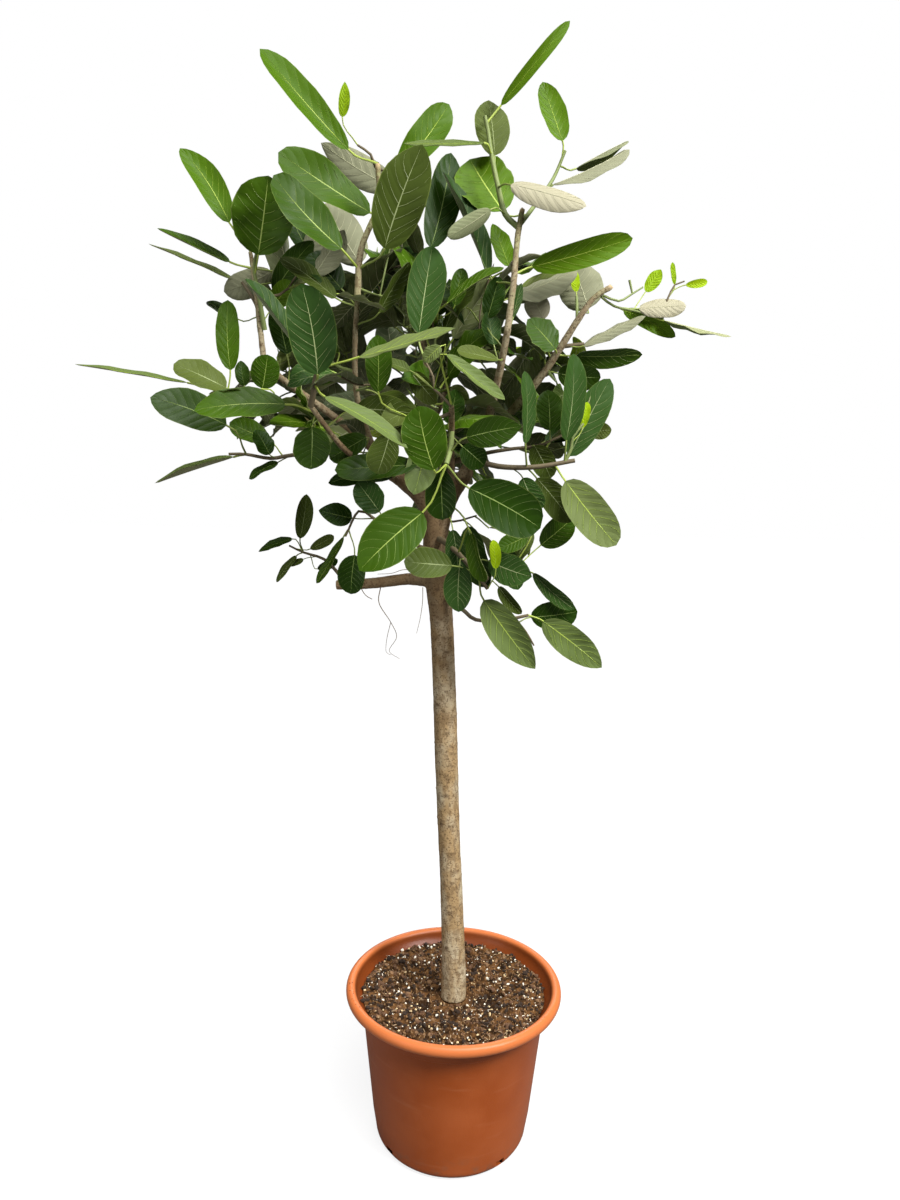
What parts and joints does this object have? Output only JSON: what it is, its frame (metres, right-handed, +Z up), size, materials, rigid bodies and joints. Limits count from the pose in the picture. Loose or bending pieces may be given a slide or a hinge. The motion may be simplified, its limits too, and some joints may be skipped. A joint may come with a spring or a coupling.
{
  "type": "large-leaved fig standard in a nursery pot",
  "caption": "Evergreen fig grown as a standard: a loose crown of large oval leaves on a bare straight stem, in a round terracotta-coloured plastic pot of soil.",
  "frame": {"origin": "centre of the pot's flat underside, on the surface it stands on", "axes": "+Z up the stem, -Y towards the front, +X to the right seen from the front"},
  "size_m": [0.9391, 0.5509, 1.6577],
  "materials": {
    "pot_plastic": "satin moulded plastic, terracotta colour",
    "potting_soil": "crumbly dark soil with pale perlite",
    "bark": "smooth matte bark with fine rings, knots and pores",
    "leaves": "satin green leaves with pale veins and paler undersides"
  },
  "bodies": {
    "root": {"pot": "pot_plastic", "soil": "potting_soil", "trunk": "bark", "bough_low_left": "bark", "bough_left": "bark", "bough_right": "bark", "bough_back": "bark", "bough_far_left": "bark", "bough_top_left": "bark", "bough_top_centre": "bark", "bough_top_right": "bark", "mass_core_left": "leaves", "mass_core_right": "leaves", "mass_core_front": "leaves", "mass_core_back": "leaves", "mass_core_top": "leaves", "mass_left": "leaves", "mass_left_tip": "leaves", "mass_left_low": "leaves", "mass_left_top": "leaves", "mass_left_points": "leaves", "mass_top_left": "leaves", "mass_top": "leaves", "mass_top_centre": "leaves", "mass_top_tip": "leaves", "mass_top_right": "leaves", "mass_right_top": "leaves", "mass_right": "leaves", "mass_right_tip": "leaves", "mass_right_low": "leaves", "mass_low_front": "leaves", "mass_low_centre": "leaves", "mass_low_right": "leaves", "mass_low_back": "leaves", "mass_back_low": "leaves", "mass_back_tip": "leaves", "mass_back_top": "leaves", "mass_front_top": "leaves", "mass_sprig": "leaves"}
  },
  "joints": []
}
